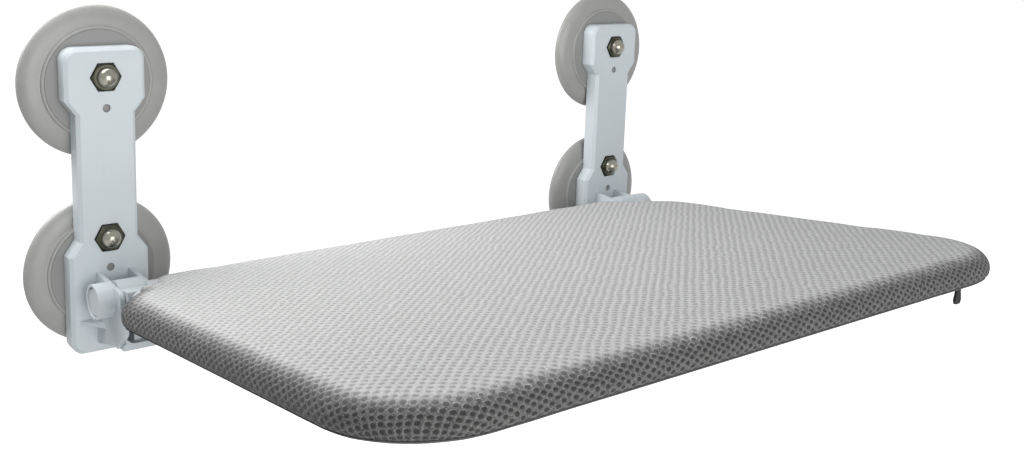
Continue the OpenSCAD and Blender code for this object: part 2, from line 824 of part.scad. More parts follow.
module zip_slot(w, over) {
    translate([zip_x - w / 2, zip_front_y - over, mat_low_z - cut])
        cube([w, zip_len + 2 * over, mesh_t + 2 * cut]);
}

// Woven cloth that closes the mat from below
module base_panel() {
    color([0.20, 0.21, 0.22]) at_perch() difference() {
        translate([0, 0, mat_low_z]) linear_extrude(mesh_t) base_plan();
        zip_slot(slot_w, 0);
        hinge_room();
    }
}

// Room for the zip above the base
module zip_room() {
    h = chain_z + tooth_t / 2 + slider_play + slider_t + side_play - mat_low_z;
    w = max(zip_w, slider_w) + 2 * layer_play;
    translate([zip_x - w / 2, zip_front_y - stop_len - layer_play, mat_low_z])
        cube([w, zip_len + 2 * stop_len + 2 * layer_play, h]);
}

// Two tapes, one each side of the teeth
module zip_tapes() {
    inner = teeth_gap / 2 + tooth_w;
    color([0.16, 0.16, 0.17]) at_perch() translate([0, 0, tape_z]) linear_extrude(tape_t)
        intersection() {
            plan(mat_r, core_corner_r);
            translate([zip_x, zip_front_y - stop_len]) for (s = [0, 1]) mirror([s, 0])
                translate([inner, 0]) square([zip_w / 2 - inner, zip_len + 2 * stop_len]);
        }
}

// Two rows of teeth on their cords, with the slider's way between them
module zip_teeth() {
    n = floor(zip_len / tooth_pitch);
    color([0.22, 0.22, 0.23]) at_perch() for (s = [0, 1])
        translate([zip_x, zip_front_y, chain_z]) mirror([s, 0, 0]) {
            translate([teeth_gap / 2 + tooth_w - cord_w, 0, -tape_t / 2])
                cube([cord_w, zip_len, tape_t]);
            for (i = [0:n - 1])
                translate([teeth_gap / 2, i * tooth_pitch, -tooth_t / 2])
                    cube([tooth_w, tooth_len, tooth_t]);
        }
}

// Stops at both ends of the teeth
module zip_stops() {
    w = 2 * tooth_w + teeth_gap;
    low = chain_z - tooth_t / 2;
    color([0.40, 0.40, 0.40]) at_perch() for (y = [zip_front_y - stop_len, zip_back_y])
        translate([zip_x - w / 2, y, low]) cube([w, stop_len, mat_low_z - low]);
}

module at_slider() {
    at_perch() translate([zip_x, slider_rest_y, chain_z]) children();
}

// Slider: two plates joined by a post, rims over the teeth, two cheeks and a pin
module zip_slider() {
    lift = tooth_t / 2 + slider_play;
    rim = tooth_t / 2 - tape_t / 2;
    half = slider_w / 2;
    nose = slider_len / 4;
    color([0.12, 0.12, 0.13]) at_slider() {
        for (m = [0, 1]) mirror([0, 0, m]) {
            translate([0, 0, lift]) linear_extrude(slider_t) polygon([
                [-half + nose, -slider_len / 2], [half - nose, -slider_len / 2],
                [half, -slider_len / 2 + nose], [half, slider_len / 2 - nose / 2],
                [half - nose / 2, slider_len / 2], [-half + nose / 2, slider_len / 2],
                [-half, slider_len / 2 - nose / 2], [-half, -slider_len / 2 + nose]
            ]);
            for (s = [0, 1]) mirror([s, 0, 0])
                translate([half - slider_t, -slider_len / 2 + nose, lift - rim])
                    cube([slider_t, slider_len - 2 * nose, rim + slider_t / 2]);
        }
        translate([-post_w / 2, -post_len / 2, -lift - slider_t / 2])
            cube([post_w, post_len, 2 * lift + slider_t]);
        for (s = [0, 1]) mirror([s, 0, 0])
            translate([pull_w / 2 + slider_play, 0, -lift - slider_t / 2]) rotate([0, 90, 0])
                linear_extrude(cheek_t) polygon([
                    [0, -cheek_h / 2], [cheek_h, -pin_r - slider_t / 2],
                    [cheek_h, pin_r + slider_t / 2], [0, cheek_h / 2]
                ]);
        translate([0, 0, -lift - slider_t - pin_drop + slider_t / 2])
            rod_x(-pull_w / 2 - slider_play - cheek_t / 2, pull_w / 2 + slider_play + cheek_t / 2, pin_r);
    }
}

// Pull tab hanging from the slider's pin
module zip_pull() {
    lift = tooth_t / 2 + slider_play;
    tip_w = pull_w * 3 / 2;
    color([0.12, 0.12, 0.13]) at_perch()
        translate([zip_x, slider_rest_y, chain_z - lift - slider_t / 2 - pin_drop])
            rotate([perch_tilt, 0, 0]) difference() {
                union() {
                    rod_x(-pull_w / 2, pull_w / 2, eye_r);
                    translate([0, pull_t / 2, 0]) rotate([90, 0, 0]) linear_extrude(pull_t) polygon([
                        [-pull_w / 2, 0], [-pull_w / 2, -eye_r * 2], [-tip_w / 2, -pull_len + eye_r],
                        [-pull_w / 2, -pull_len], [pull_w / 2, -pull_len],
                        [tip_w / 2, -pull_len + eye_r], [pull_w / 2, -eye_r * 2], [pull_w / 2, 0]
                    ]);
                }
                rod_x(-pull_w, pull_w, pin_r + pin_play);
            }
}

left_bracket();
right_bracket();
upper_left_cup();
lower_left_cup();
upper_right_cup();
lower_right_cup();
upper_left_cup_plate();
lower_left_cup_plate();
upper_right_cup_plate();
lower_right_cup_plate();
cup_studs();
nut_washers();
cap_nuts();
back_tube();
left_front_tube();
right_front_tube();
tube_joiner();
joiner_rivets();
left_hinge_arm();
right_hinge_arm();
arm_screws();
tube_plugs();
support_straps();
foam_pad();
edge_roll();
mesh_cover();
base_panel();
zip_tapes();
zip_teeth();
zip_stops();
zip_slider();
zip_pull();
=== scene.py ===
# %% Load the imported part
import bpy, bmesh, json, math
from mathutils import Matrix, Vector

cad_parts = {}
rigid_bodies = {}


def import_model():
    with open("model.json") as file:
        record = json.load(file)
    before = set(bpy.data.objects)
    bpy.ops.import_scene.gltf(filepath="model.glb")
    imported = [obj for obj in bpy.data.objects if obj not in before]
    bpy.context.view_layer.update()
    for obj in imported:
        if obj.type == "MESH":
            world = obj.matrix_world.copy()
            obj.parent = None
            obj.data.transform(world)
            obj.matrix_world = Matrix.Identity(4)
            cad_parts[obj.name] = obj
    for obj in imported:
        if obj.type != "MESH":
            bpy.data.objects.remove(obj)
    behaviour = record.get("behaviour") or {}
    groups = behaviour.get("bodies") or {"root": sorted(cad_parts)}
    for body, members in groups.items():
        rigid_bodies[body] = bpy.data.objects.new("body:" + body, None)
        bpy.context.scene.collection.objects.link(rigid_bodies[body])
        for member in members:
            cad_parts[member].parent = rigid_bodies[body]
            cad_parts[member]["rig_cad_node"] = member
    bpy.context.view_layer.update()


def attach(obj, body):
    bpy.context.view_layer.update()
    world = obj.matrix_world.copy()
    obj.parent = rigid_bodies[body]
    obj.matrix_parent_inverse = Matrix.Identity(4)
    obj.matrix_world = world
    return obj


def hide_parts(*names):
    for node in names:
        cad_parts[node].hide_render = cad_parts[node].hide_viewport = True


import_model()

MM = 0.001

# %% [markdown]
# The camera comes first, because it fixes what the picture can show. Straight edges and
# nut centres in the photograph gave one camera: its place, its three turns and its focal
# length. The photograph is a crop, so a small shift moves the picture the same way.

# %% Camera at the photograph's viewpoint
PHOTO_W, PHOTO_H = 1024, 456
FOCAL_PX, CENTRE_PX = 1166.7, (459.7, 130.1)
SENSOR_W = 36.0
CAMERA_PLACE = (-0.46638, -0.70595, 0.16558)
YAW, PITCH, ROLL = -37.314, -10.297, -1.659
camera_data = bpy.data.cameras.new("photo_camera")
camera_data.sensor_width = SENSOR_W
camera_data.lens = FOCAL_PX * SENSOR_W / PHOTO_W
camera_data.shift_x = (PHOTO_W / 2 - CENTRE_PX[0]) / PHOTO_W
camera_data.shift_y = (CENTRE_PX[1] - PHOTO_H / 2) / PHOTO_W
camera_data.clip_start = 0.02
camera = bpy.data.objects.new("photo_camera", camera_data)
bpy.context.scene.collection.objects.link(camera)
bpy.context.scene.camera = camera
yaw, pitch, roll = (math.radians(a) for a in (YAW, PITCH, ROLL))
turn = Matrix.Rotation(yaw, 4, "Z") @ Matrix.Rotation(pitch, 4, "X") @ Matrix.Rotation(roll, 4, "Y")
look = turn @ Matrix.Rotation(math.radians(90), 4, "X")
camera.matrix_world = Matrix.Translation(CAMERA_PLACE) @ look
shift = (round(camera_data.shift_x, 4), round(camera_data.shift_y, 4))
print("camera lens", round(camera_data.lens, 2), "shift", shift)

# %% [markdown]
# The perch rises from the window by a few degrees. Its pieces are easiest to draw level,
# with the hinge axis at zero, and to turn into place at the end. One matrix holds that
# turn, and every piece of the perch passes through it once. The mat is a rounded slab
# with wide front corners. Its back corners start further forward, so that they pass in
# front of the outer ears of the brackets.

# %% Frame of the perch
HINGE = Vector((0.0, -43.5, -67.0)) * MM
TILT = math.radians(6.2)
PERCH = Matrix.Translation(HINGE) @ Matrix.Rotation(-TILT, 4, "X")
MAT_LEN, MAT_DEPTH, MAT_T, MAT_CORNER = 477 * MM, 338.5 * MM, 19 * MM, 58 * MM
MAT_BACK = 12.3 * MM
MAT_FRONT, MAT_MID = MAT_BACK - MAT_DEPTH, MAT_BACK - MAT_DEPTH / 2
BACK_CORNER, EAR_ROOM = 42 * MM, 22.3 * MM
BACK_X, BACK_Y = MAT_LEN / 2 - BACK_CORNER, -EAR_ROOM - BACK_CORNER
EDGE_R = MAT_T / 2
LOW_Z = -EDGE_R
HEM_INSET, HEM_CORNER = 10.5 * MM, 47.5 * MM
ZIP_INSET, SLOT_W, SLOT_CLEAR = 34.5 * MM, 9.8 * MM, 1.2 * MM
ZIP_X = MAT_LEN / 2 - ZIP_INSET
SLOT_OUT = ZIP_X + SLOT_W / 2 - MAT_LEN / 2 + MAT_CORNER
ZIP_FRONT = MAT_FRONT + MAT_CORNER - math.sqrt((HEM_CORNER - SLOT_CLEAR) ** 2 - SLOT_OUT ** 2)
ZIP_LEN = 0.64 * MAT_DEPTH
print("mat front edge", round(MAT_FRONT, 4), "zip from", round(ZIP_FRONT, 4))

# %% [markdown]
# A finished piece is one object at the origin with its place in its mesh. This helper
# turns a bmesh into such an object, smooths it and says what it rides on. A second one
# turns the faces of a closed shape outwards.

# %% Helper that finishes a piece
def finish_piece(bm, name, body, material, replaces=(), place=None, angle=40):
    if place is not None:
        bm.transform(place)
    mesh = bpy.data.meshes.new(name)
    bm.to_mesh(mesh)
    bm.free()
    obj = bpy.data.objects.new(name, mesh)
    bpy.context.scene.collection.objects.link(obj)
    mesh.materials.append(material)
    mesh.shade_smooth()
    mesh.set_sharp_from_angle(angle=math.radians(angle))
    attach(obj, body)
    if replaces:
        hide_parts(*replaces)
    print(name, len(mesh.polygons), "faces")
    return obj

SAME_POINT = 1e-6
def face_outwards(bm):
    bmesh.ops.remove_doubles(bm, verts=bm.verts[:], dist=SAME_POINT)
    bmesh.ops.recalc_face_normals(bm, faces=bm.faces[:])

# %% [markdown]
# Materials are networks of nodes. Written out node by node they are long, so a small
# class wraps one output socket: adding or multiplying two of them adds the Math node
# for it. A second class holds one material, and its node method makes any other node
# from its type, settings and inputs.

# %% Helpers for materials
class Value:
    def __init__(self, paint, socket):
        self.paint, self.socket = paint, socket
    def maths(self, operation, a, b):
        return self.paint.node("ShaderNodeMath", {"operation": operation}, {0: a, 1: b})[0]
    def __add__(self, other):
        return self.maths("ADD", self, other)
    def __radd__(self, other):
        return self.maths("ADD", other, self)
    def __sub__(self, other):
        return self.maths("SUBTRACT", self, other)
    def __rsub__(self, other):
        return self.maths("SUBTRACT", other, self)
    def __mul__(self, other):
        return self.maths("MULTIPLY", self, other)
    def __rmul__(self, other):
        return self.maths("MULTIPLY", other, self)
    def min(self, other):
        return self.maths("MINIMUM", self, other)
    def max(self, other):
        return self.maths("MAXIMUM", self, other)
    def zigzag(self, height):
        return self.maths("PINGPONG", self, height)

class Paint:
    def __init__(self, name):
        self.material = bpy.data.materials.new(name)
        self.material.use_nodes = True
        self.tree = self.material.node_tree
        self.shader = self.tree.nodes["Principled BSDF"]
    def node(self, kind, settings=None, inputs=None):
        made = self.tree.nodes.new(kind)
        for key, value in (settings or {}).items():
            setattr(made, key, value)
        for key, value in (inputs or {}).items():
            self.put(made.inputs[key], value)
        return [Value(self, socket) for socket in made.outputs]
    def put(self, socket, value):
        if isinstance(value, Value):
            self.tree.links.new(value.socket, socket)
        elif isinstance(value, (tuple, list)) and socket.type == "RGBA":
            socket.default_value = (*value[:3], 1)
        else:
            socket.default_value = value
    def set(self, **inputs):
        for key, value in inputs.items():
            self.put(self.shader.inputs[key.replace("_", " ")], value)
        return self.material
    def coords(self):
        return self.node("ShaderNodeTexCoord")[3]
    def attribute(self, name, output):
        return self.node("ShaderNodeAttribute", {"attribute_name": name})[output]
    def noise(self, where, scale, detail=3, rough=0.5):
        inputs = {"Vector": where, "Scale": scale, "Detail": detail, "Roughness": rough}
        return self.node("ShaderNodeTexNoise", None, inputs)[0]
    def step(self, value, low, high, out_low=0.0, out_high=1.0):
        inputs = {0: value, 1: low, 2: high, 3: out_low, 4: out_high}
        return self.node("ShaderNodeMapRange", {"interpolation_type": "SMOOTHSTEP"}, inputs)[0]
    def mix(self, factor, a, b):
        return self.node("ShaderNodeMix", {"data_type": "RGBA"}, {0: factor, 6: a, 7: b})[2]
    def soft_edge(self, radius, samples):
        return self.node("ShaderNodeBevel", {"samples": samples}, {"Radius": radius})[0]
    def bump(self, height, distance, strength=1.0, normal=None):
        inputs = {"Height": height, "Distance": distance, "Strength": strength}
        if normal is not None:
            inputs["Normal"] = normal
        return self.node("ShaderNodeBump", None, inputs)[0]
    def vec(self, operation, a, b=None, c=None, scale=None):
        given = {0: a, 1: b, 2: c, 3: scale}
        inputs = {key: value for key, value in given.items() if value is not None}
        outputs = self.node("ShaderNodeVectorMath", {"operation": operation}, inputs)
        return outputs[1] if operation == "LENGTH" else outputs[0]

def shade_of(colour, share):
    return tuple(min(1, c * share) for c in colour)

print("half of light grey", shade_of((0.6, 0.6, 0.6), 0.5))

# %% [markdown]
# The brackets are injection moulded in a cool light grey. A mould leaves a very fine
# spark texture, faint flow clouds and edges that are never quite sharp. The Bevel node
# rounds the edges in shading only, so the part's own faces stay where they are.

# %% Moulded plastic
def moulded_plastic(name, colour, rough=0.42):
    p = Paint(name)
    at = p.coords()
    cloud = p.noise(at, 28, 4)
    grain = p.noise(at, 2600, 2)
    scuff = p.step(p.noise(p.vec("MULTIPLY", at, (1.0, 1.0, 0.25)), 160, 5, 0.65), 0.62, 0.74)
    base = p.mix(cloud, shade_of(colour, 0.93), shade_of(colour, 1.04))
    base = p.mix(scuff * 0.12, base, shade_of(colour, 0.8))
    satin = p.step(cloud + scuff * 0.4, 0.2, 1.0, rough - 0.05, rough + 0.12)
    grained = p.bump(grain, 0.06 * MM, 0.5, p.soft_edge(0.5 * MM, 6))
    return p.set(Base_Color=base, Roughness=satin, Normal=grained, IOR=1.49)

BRACKET_GREY = moulded_plastic("bracket_plastic", (0.62, 0.675, 0.70))
ARM_GREY = moulded_plastic("arm_plastic", (0.60, 0.65, 0.67), 0.45)
CUP_PLATE_GREY = moulded_plastic("cup_plate_plastic", (0.27, 0.27, 0.262), 0.55)
print("moulded plastics", BRACKET_GREY.name, ARM_GREY.name, CUP_PLATE_GREY.name)

# %% [markdown]
# The suction cups are soft vinyl: smooth, a little greasy, with a broad highlight. Dust
# settles on it in patches and dulls the shine, so roughness varies more than colour.

# %% Cup rubber
def cup_rubber():
    p = Paint("cup_rubber")
    at = p.coords()
    dust = p.noise(at, 60, 5, 0.6)
    fine = p.noise(at, 900, 2)
    base = p.mix(dust, (0.29, 0.29, 0.278), (0.37, 0.37, 0.356))
    return p.set(Base_Color=base, Roughness=p.step(dust, 0.3, 0.7, 0.34, 0.5),
                 Normal=p.bump(fine, 0.05 * MM, 0.35), IOR=1.5)

CUP_RUBBER = cup_rubber()
print("rubber", CUP_RUBBER.name)

# %% [markdown]
# Nuts, studs and screws are nickel plated steel. Both steel colours are painted much
# darker than plated nickel, as a painted dark reflection of the room. The cap nuts show
# two finishes: the hexagon's flat is matt and darker still, the dome is polished. Both
# are one node, so the split is made by how far a point stands out from the glass.

# %% Plated steel
def plated_steel(name, dome_from=None):
    p = Paint(name)
    at = p.coords()
    stain = p.noise(at, 420, 5, 0.65)
    brush = p.noise(p.vec("MULTIPLY", at, (1.0, 9.0, 1.0)), 700, 3)
    # Both colours are painted darker than plated nickel: a painted dark reflection.
    dull = p.mix(stain, (0.022, 0.023, 0.016), (0.06, 0.06, 0.045))
    bright = p.mix(stain, (0.20, 0.19, 0.16), (0.33, 0.32, 0.27))
    if dome_from is None:
        base, rough = bright, p.step(stain, 0.3, 0.8, 0.22, 0.4)
    else:
        out = p.node("ShaderNodeSeparateXYZ", None, {0: at})[1]
        dome = p.step(out, -dome_from - 0.2 * MM, -dome_from + 0.2 * MM, 1.0, 0.0)
        base = p.mix(dome, dull, bright)
        rough = p.step(stain, 0.3, 0.8, 0.30, 0.5) - dome * 0.14
    brushed = p.bump(brush, 0.03 * MM, 0.4)
    return p.set(Base_Color=base, Metallic=1.0, Roughness=rough, Normal=brushed)

STEEL = plated_steel("plated_steel")
NUT_STEEL = plated_steel("cap_nut_steel", dome_from=22.9 * MM)
print("steel", STEEL.name, NUT_STEEL.name)

# %% [markdown]
# The frame tubes are powder coated in light grey. Powder coat has a soft orange peel:
# low, wide bumps under a satin shine.

# %% Coated tube
def coated_tube():
    p = Paint("tube_coat")
    at = p.coords()
    peel = p.noise(at, 700, 2)
    cloud = p.noise(at, 40, 3)
    base = p.mix(cloud, (0.58, 0.60, 0.61), (0.64, 0.66, 0.67))
    return p.set(Base_Color=base, Roughness=0.36, Normal=p.bump(peel, 0.08 * MM, 0.4), Coat_Weight=0.2)

TUBE_COAT = coated_tube()
print("tube", TUBE_COAT.name)

# %% [markdown]
# The cover is spacer mesh: two knitted faces held apart by upright threads. Its outer
# face is a net of small holes in staggered rows, 6.4 mm apart along the window and
# 5.7 mm apart from front to back. Each point of the cover carries its place on the flat
# cloth as an attribute, in millimetres, so the holes run on over the rounded edge. The
# distance to the nearest hole centre gives the colour and the relief. On the flat top
# the holes are painted mid grey, as painted shade inside them. Over the edge the cloth
# is pulled and the holes open wider; there the yarn and the holes are painted far
# darker, as painted shade on the mat's sides, and a paler ring of yarn round each hole
# is a painted highlight.

# %% Distance to the nearest hole
HOLE_X, HOLE_Y = 6.4, 5.7
def hole_distance(p, place):
    # 0 at a hole's centre and 1 halfway to the next hole of the same row
    high, low = (HOLE_X / 2, HOLE_Y / 2, 1e6), (-HOLE_X / 2, -HOLE_Y / 2, -1e6)
    level = (2 / HOLE_X, 2 / HOLE_Y, 0.0)
    first = p.vec("LENGTH", p.vec("MULTIPLY", p.vec("WRAP", place, high, low), level))
    other = p.vec("ADD", place, (HOLE_X / 2, HOLE_Y / 2, 0.0))
    second = p.vec("LENGTH", p.vec("MULTIPLY", p.vec("WRAP", other, high, low), level))
    return first.min(second)

print("holes", HOLE_X, "by", HOLE_Y, "mm apart")

# %% Spacer mesh
def spacer_mesh(name, light, shade, painted_side_hole_shade):
    p = Paint(name)
    cloth, pull = p.attribute("cloth", 1), p.attribute("pull", 2)
    wobble = p.node("ShaderNodeTexNoise", None, {"Vector": cloth, "Scale": 0.06, "Detail": 2})[1]
    drift = p.vec("SCALE", p.vec("SUBTRACT", wobble, (0.5, 0.5, 0.5)), scale=3.5)
    place = p.vec("ADD", cloth, drift)
    yarn = p.noise(p.vec("MULTIPLY", place, (1.0, 0.5, 1.0)), 1.9, 4, 0.65)
    reach = hole_distance(p, place) + (yarn - 0.5) * 0.22
    # The pull also places painted shade: the more the cloth is pulled, the darker its holes and yarn are
    # painted.
    opened_and_shaded, dark = p.step(pull, 0.0, 0.5), p.step(pull, 0.15, 0.95)
    patch = p.noise(place, 0.09, 3, 0.6)
    past_hole = reach - (0.31 + opened_and_shaded * (0.26 - patch * 0.22))
    ring = p.step(past_hole, -0.10, 0.12)
    crown = p.step(past_hole, 0.02, 0.36)
    halo = 1.0 - p.step(past_hole, 0.10, 0.34)
    loops = p.step(p.noise(place, 0.62, 4, 0.75), 0.3, 0.7)
    flat_yarn = p.mix(loops, shade_of(light, 0.74), shade_of(light, 1.08))
    # On the sides the yarn is painted far darker than on top: painted shade.
    painted_shade_yarn = p.mix(loops, shade_of(light, 0.08), shade_of(light, 0.33))
    between = p.mix(p.step(pull, 0.05, 0.7), flat_yarn, painted_shade_yarn)
    # On the sides the yarn round each hole is painted paler than the rest: a painted highlight.
    rim = p.mix(p.step(pull, 0.4, 1.0), flat_yarn, shade_of(light, 0.37))
    strand = p.mix(halo * (loops * 0.6 + p.step(patch, 0.3, 0.7) * 0.4), between, rim)
    # The holes are painted darker than the yarn, darkest on the sides: painted shade inside them.
    hole = p.mix(dark, p.mix(opened_and_shaded, shade, shade_of(shade, 0.5)), painted_side_hole_shade)
    relief = (crown * 0.8 + ring * 0.35) * (opened_and_shaded * 0.5 + 0.5) + yarn * 0.3
    return p.set(Base_Color=p.mix(ring, hole, strand), Roughness=p.step(yarn, 0.3, 0.7, 0.66, 0.88),
                 Normal=p.bump(relief, 1.1 * MM, 0.9), Sheen_Weight=0.12, Sheen_Roughness=0.5,
                 Specular_IOR_Level=0.25)

# light is the yarn on top; the two hole colours are painted shade inside the holes.
MESH_CLOTH = spacer_mesh("spacer_mesh", light=(0.68, 0.68, 0.668), shade=(0.36, 0.36, 0.352),
                         painted_side_hole_shade=(0.03, 0.03, 0.028))
print("mesh cloth", MESH_CLOTH.name)

# %% [markdown]
# The base, the zip tapes and the straps are woven: threads pass over and under each
# other at right angles. Two zigzag waves, one for each direction, and a checker that
# says which one is on top, make a plain weave from coordinates alone.

# %% Woven cloth
def woven_cloth(name, colour, per_mm=1.1):
    p = Paint(name)
    inputs = {"Vector": p.attribute("cloth", 1), "Scale": (per_mm, per_mm, per_mm)}
    at = p.node("ShaderNodeMapping", None, inputs)[0]
    xyz = p.node("ShaderNodeSeparateXYZ", None, {0: at})
    warp, weft = xyz[0].zigzag(0.5) * 2.0, xyz[1].zigzag(0.5) * 2.0
    squares = {"Vector": at, "Color1": (1, 1, 1), "Color2": (0, 0, 0), "Scale": 1.0}
    check = p.node("ShaderNodeTexChecker", None, squares)[1]
    over = warp * check + weft * (1.0 - check)
    fuzz = p.noise(at, 1.4, 4, 0.6)
    base = p.mix(over * 0.7 + fuzz * 0.3, shade_of(colour, 0.55), shade_of(colour, 1.35))
    return p.set(Base_Color=base, Roughness=0.8, Normal=p.bump(over + fuzz * 0.4, 0.25 * MM, 0.6),
                 Sheen_Weight=0.2, Specular_IOR_Level=0.25)

BASE_CLOTH = woven_cloth("base_cloth", (0.075, 0.078, 0.082))
TAPE_CLOTH = woven_cloth("zip_tape_cloth", (0.03, 0.03, 0.032), 1.6)
STRAP_CLOTH = woven_cloth("strap_cloth", (0.05, 0.05, 0.055), 0.8)
BINDING = woven_cloth("binding_tape", (0.085, 0.088, 0.085), 1.4)
THREAD = woven_cloth("thread", (0.30, 0.30, 0.29), 3.0)
print("woven", BASE_CLOTH.name, TAPE_CLOTH.name, STRAP_CLOTH.name)

# %% [markdown]
# The zip is black: plastic teeth, and a slider and tab of metal under paint. Both finishes
# are one network with two colours. Noise thins the colour where fingers rub it, and a
# small bevel in shading keeps edges of half a millimetre from looking cut out of card.

# %% Zip finishes
def zip_finish(name, colour, rough):
    p = Paint(name)
    wear = p.noise(p.coords(), 900, 4, 0.6)
    rubbed = tuple(c * 2.2 + 0.02 for c in colour)
    base = p.mix(p.step(wear, 0.55, 0.75), colour, rubbed)
    worn_bump = p.bump(wear, 0.03 * MM, 0.4, p.soft_edge(0.25 * MM, 4))
    return p.set(Base_Color=base, Roughness=rough, Specular_IOR_Level=0.3, Normal=worn_bump)

ZIP_BLACK = zip_finish("zip_plastic", (0.03, 0.03, 0.031), 0.4)
ZIP_PAINT = zip_finish("zip_painted_metal", (0.008, 0.008, 0.009), 0.6)
print("zip", ZIP_BLACK.name, ZIP_PAINT.name)

# %% [markdown]
# The rigid CAD nodes have the right shape already. They keep it, and only get a finish.

# %% Finishes for the rigid nodes
FINISH = {
    BRACKET_GREY: ["left_bracket", "right_bracket"],
    ARM_GREY: ["left_hinge_arm", "right_hinge_arm", "tube_plugs"],
    CUP_PLATE_GREY: ["upper_left_cup_plate", "lower_left_cup_plate",
                     "upper_right_cup_plate", "lower_right_cup_plate"],
    NUT_STEEL: ["cap_nuts"],
    STEEL: ["cup_studs", "nut_washers", "joiner_rivets", "arm_screws"],
    TUBE_COAT: ["back_tube", "left_front_tube", "right_front_tube", "tube_joiner"],
    ZIP_BLACK: ["zip_teeth", "zip_stops"],
    ZIP_PAINT: ["zip_slider", "zip_pull"],
}
nodes_by_name = {o.get("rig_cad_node", ""): o for o in bpy.data.objects if "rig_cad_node" in o}
for material, names in FINISH.items():
    for name in names:
        obj = nodes_by_name[name]
        for slot in obj.material_slots:
            slot.material = material
print("finished", sum(len(n) for n in FINISH.values()), "rigid nodes")

# %% [markdown]
# A suction cup is turned: a flat lip, a bellied flank that flattens under vacuum, a
# raised middle with a well for the cup plate, and a hollow back. Half of its section is
# spun round the stud's axis. Extra rings near each fold keep the folds crisp once it is
# smoothed.

# %% Section of a suction cup
CUP_R, CUP_MID_R, CUP_H, CARRIER_R = 47.5, 35.0, 8.6, 33.0
CUP_HOLLOW, SEAT_R, LIP_T, BELLY_LOW, BELLY_H, STEP_LOW = 1.4, 39.7, 0.85, 1.0, 5.9, 7.05
CARRIER_LOW, BELLY_STEPS, FOLD_R = CUP_H - 3.8, 16, 0.35
def cup_section():
    # Radius and height in millimetres, from the middle of the hollow back to the plate's well
    back = [(0, CUP_HOLLOW), (SEAT_R / 2, CUP_HOLLOW), (SEAT_R - 1.6, CUP_HOLLOW),
            (SEAT_R - 0.4, CUP_HOLLOW / 4), (SEAT_R, 0.0), ((SEAT_R + CUP_R) / 2, 0.0)]
    lip = [(CUP_R - 0.25, 0.0), (CUP_R, 0.2), (CUP_R, LIP_T)]
    turns = [math.pi / 2 * i / BELLY_STEPS for i in range(1, BELLY_STEPS + 1)]
    foot = CUP_MID_R + FOLD_R
    belly = [(foot + (CUP_R - foot) * math.cos(a), BELLY_LOW + BELLY_H * math.sin(a)) for a in turns]
    rise = [(CUP_MID_R + 0.05, STEP_LOW), (CUP_MID_R, STEP_LOW + 0.25), (CUP_MID_R - 0.1, CUP_H - 0.7),
            (CUP_MID_R - 0.5, CUP_H - 0.2), (CUP_MID_R - 1.0, CUP_H)]
    well = [(CARRIER_R + 0.5, CUP_H), (CARRIER_R + 0.1, CUP_H - 0.15), (CARRIER_R + 0.05, CUP_H - 0.5),
            (CARRIER_R + 0.05, CARRIER_LOW), (0, CARRIER_LOW)]
    return back + lip + belly + rise + well

print("cup section", len(cup_section()), "points")

# %% Suction cups
CUP_X, CUP_Z = 0.214, 0.060
def suction_cup(name, node, x, z):
    bm = bmesh.new()
    ring = [bm.verts.new((r * MM, 0, h * MM)) for r, h in cup_section()]
    edges = [bm.edges.new(pair) for pair in zip(ring, ring[1:])]
    bmesh.ops.spin(bm, geom=ring + edges, cent=(0, 0, 0), axis=(0, 0, 1), angle=math.tau, steps=96,
                   use_merge=True, use_duplicate=False)
    face_outwards(bm)
    place = Matrix.Translation((x, 0, z)) @ Matrix.Rotation(math.radians(90), 4, "X")
    finish_piece(bm, name, "window_mounts", CUP_RUBBER, [node], place=place, angle=50)

for level, z in (("upper", CUP_Z), ("lower", -CUP_Z)):
    for side, x in (("left", -CUP_X), ("right", CUP_X)):
        suction_cup(f"{level}_{side}_suction_cup", f"{level}_{side}_cup", x, z)

# %% [markdown]
# The mat is foam in a tight mesh cover over a tube frame. It starts as a box: bevels
# round its four corners in plan and then its edges. It is a little too small, because
# the next step blows it up like a cushion, with cloth simulation under pressure. The
# same slab, left thin and sharp, is the base panel later.

# %% Mat before it is filled
def rounded_slab(half_x, y_range, z_range, corner, edge=0.0, corner_segments=12, edge_segments=8):
    (y0, y1), (z0, z1) = y_range, z_range
    bm = bmesh.new()
    bmesh.ops.create_cube(bm, size=1.0)
    bmesh.ops.scale(bm, vec=(2 * half_x, y1 - y0, z1 - z0), verts=bm.verts[:])
    bmesh.ops.translate(bm, vec=(0, (y0 + y1) / 2, (z0 + z1) / 2), verts=bm.verts[:])
    upright = [e for e in bm.edges if abs(e.verts[0].co.z - e.verts[1].co.z) > (z1 - z0) / 2]
    bmesh.ops.bevel(bm, geom=upright, offset=corner, offset_type="OFFSET", segments=corner_segments,
                    profile=0.5, affect="EDGES", material=-1)
    if edge > 0:
        rim = [e for e in bm.edges if abs(e.verts[0].co.z - e.verts[1].co.z) < 1e-7]
        bmesh.ops.bevel(bm, geom=rim, offset=edge, offset_type="OFFSET", segments=edge_segments,
                        profile=0.5, affect="EDGES", material=-1)
    return bm

START_IN, FLAT_BAND = 1.2 * MM, 0.4 * MM
mat_bm = rounded_slab(MAT_LEN / 2 - START_IN, (MAT_FRONT + START_IN, MAT_BACK - START_IN),
                      (LOW_Z + START_IN, EDGE_R - START_IN), MAT_CORNER - START_IN,
                      EDGE_R - START_IN - FLAT_BAND)
mat_mesh = bpy.data.meshes.new("mat_cover")
mat_bm.to_mesh(mat_mesh)
mat_bm.free()
mat_blank = bpy.data.objects.new("mat_cover", mat_mesh)
bpy.context.scene.collection.objects.link(mat_blank)
print("mat blank", len(mat_mesh.polygons), "faces")

# %% [markdown]
# Cloth needs even faces, so a voxel remesh comes first. The simulation runs without
# gravity and swells the mat from inside. Later steps read the points both as they were
# and as the filling left them.

# %% Fill the mat
def apply_modifiers(obj):
    graph = bpy.context.evaluated_depsgraph_get()
    done = bpy.data.meshes.new_from_object(obj.evaluated_get(graph), depsgraph=graph)
    old = obj.data
    obj.modifiers.clear()
    obj.data = done
    bpy.data.meshes.remove(old)

